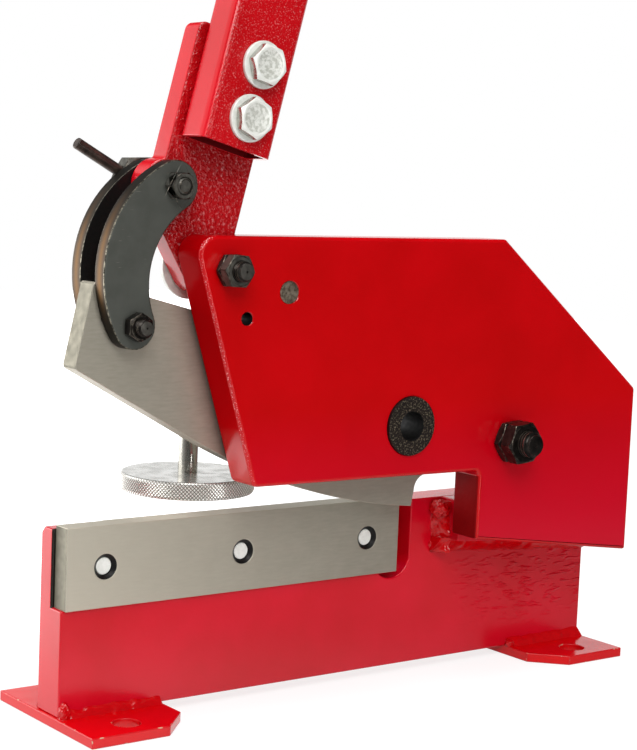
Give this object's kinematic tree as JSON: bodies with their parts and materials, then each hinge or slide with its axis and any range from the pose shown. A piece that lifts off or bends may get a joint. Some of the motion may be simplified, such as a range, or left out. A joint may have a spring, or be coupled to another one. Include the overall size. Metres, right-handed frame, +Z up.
{
  "type": "bench lever shear",
  "caption": "Red bench lever shear: a leaning handle drives a curved upper blade through paired curved links, past a fixed lower blade on a footed bar.",
  "frame": {"origin": "middle of the four foot holes, on the underside of the feet", "axes": "+X along the base bar towards the blade pivot, +Y to the back, +Z up"},
  "size_m": [0.3457, 0.1201, 0.7271],
  "materials": {
    "red_gloss": "gloss",
    "red_satin": "satin",
    "red_cast": "hammered gloss",
    "ground_steel": "ground",
    "black_steel": "blackened and worn",
    "hard_bush": "hardened",
    "black_oxide": "black oxide",
    "zinc": "zinc plated",
    "plain_steel": "plain",
    "grip_rubber": "matte"
  },
  "bodies": {
    "frame": {"base_bar": "red_satin", "left_foot": "red_satin", "right_foot": "red_satin", "foot_welds": "red_satin", "spacer_block": "red_satin", "spacer_welds": "red_satin", "cheek_plate": "red_gloss", "cheek_bush": "hard_bush", "lower_blade": "ground_steel", "lower_blade_screws": "zinc", "blade_pivot_bolt": "black_oxide", "blade_pivot_washer": "zinc", "blade_pivot_jam_nut": "black_oxide", "blade_pivot_nut": "black_oxide", "lever_pivot_bolt": "black_oxide", "lever_pivot_washer": "zinc", "lever_pivot_jam_nut": "black_oxide", "lever_pivot_nut": "black_oxide", "hold_down_stud": "plain_steel", "hold_down_arm": "red_satin", "hold_down_lock_nut": "zinc"},
    "upper_blade": {"upper_blade": "ground_steel", "blade_bush": "hard_bush"},
    "lever": {"lever_plate": "red_cast", "handle_tube": "red_cast", "handle_bolts": "zinc", "handle_washers": "zinc", "handle_grip": "grip_rubber"},
    "links": {"front_link": "black_steel", "rear_link": "black_steel", "link_upper_bolt": "black_oxide", "link_upper_nut": "black_oxide", "tommy_bar": "plain_steel", "link_lower_bolt": "black_oxide", "link_lower_nut": "black_oxide"},
    "hold_down": {"hold_down_screw": "zinc", "hold_down_disc": "zinc"}
  },
  "joints": [
    {"name": "lever_swing", "type": "hinge", "parent": "frame", "child": "lever", "pos_m": [-0.1057, -0.0176, 0.2172], "axis": [0, -1, 0], "range_deg": [0, 100]},
    {"name": "blade_swing", "type": "hinge", "parent": "frame", "child": "upper_blade", "pos_m": [0.077, -0.0181, 0.1278], "axis": [0, -1, 0], "range_deg": [0, 17.5]},
    {"name": "link_swing", "type": "hinge", "parent": "lever", "child": "links", "pos_m": [-0.1289, -0.0176, 0.25506], "axis": [0, -1, 0], "range_deg": [-94.2, 0]},
    {"name": "hold_down_slide", "type": "slide", "parent": "frame", "child": "hold_down", "axis": [0, 0, 1], "range_m": [-0.006, 0.012]}
  ],
  "couplings": [
    {"joint": "blade_swing", "follows": "lever_swing", "ratio": 0.174},
    {"joint": "link_swing", "follows": "lever_swing", "ratio": -0.94}
  ]
}
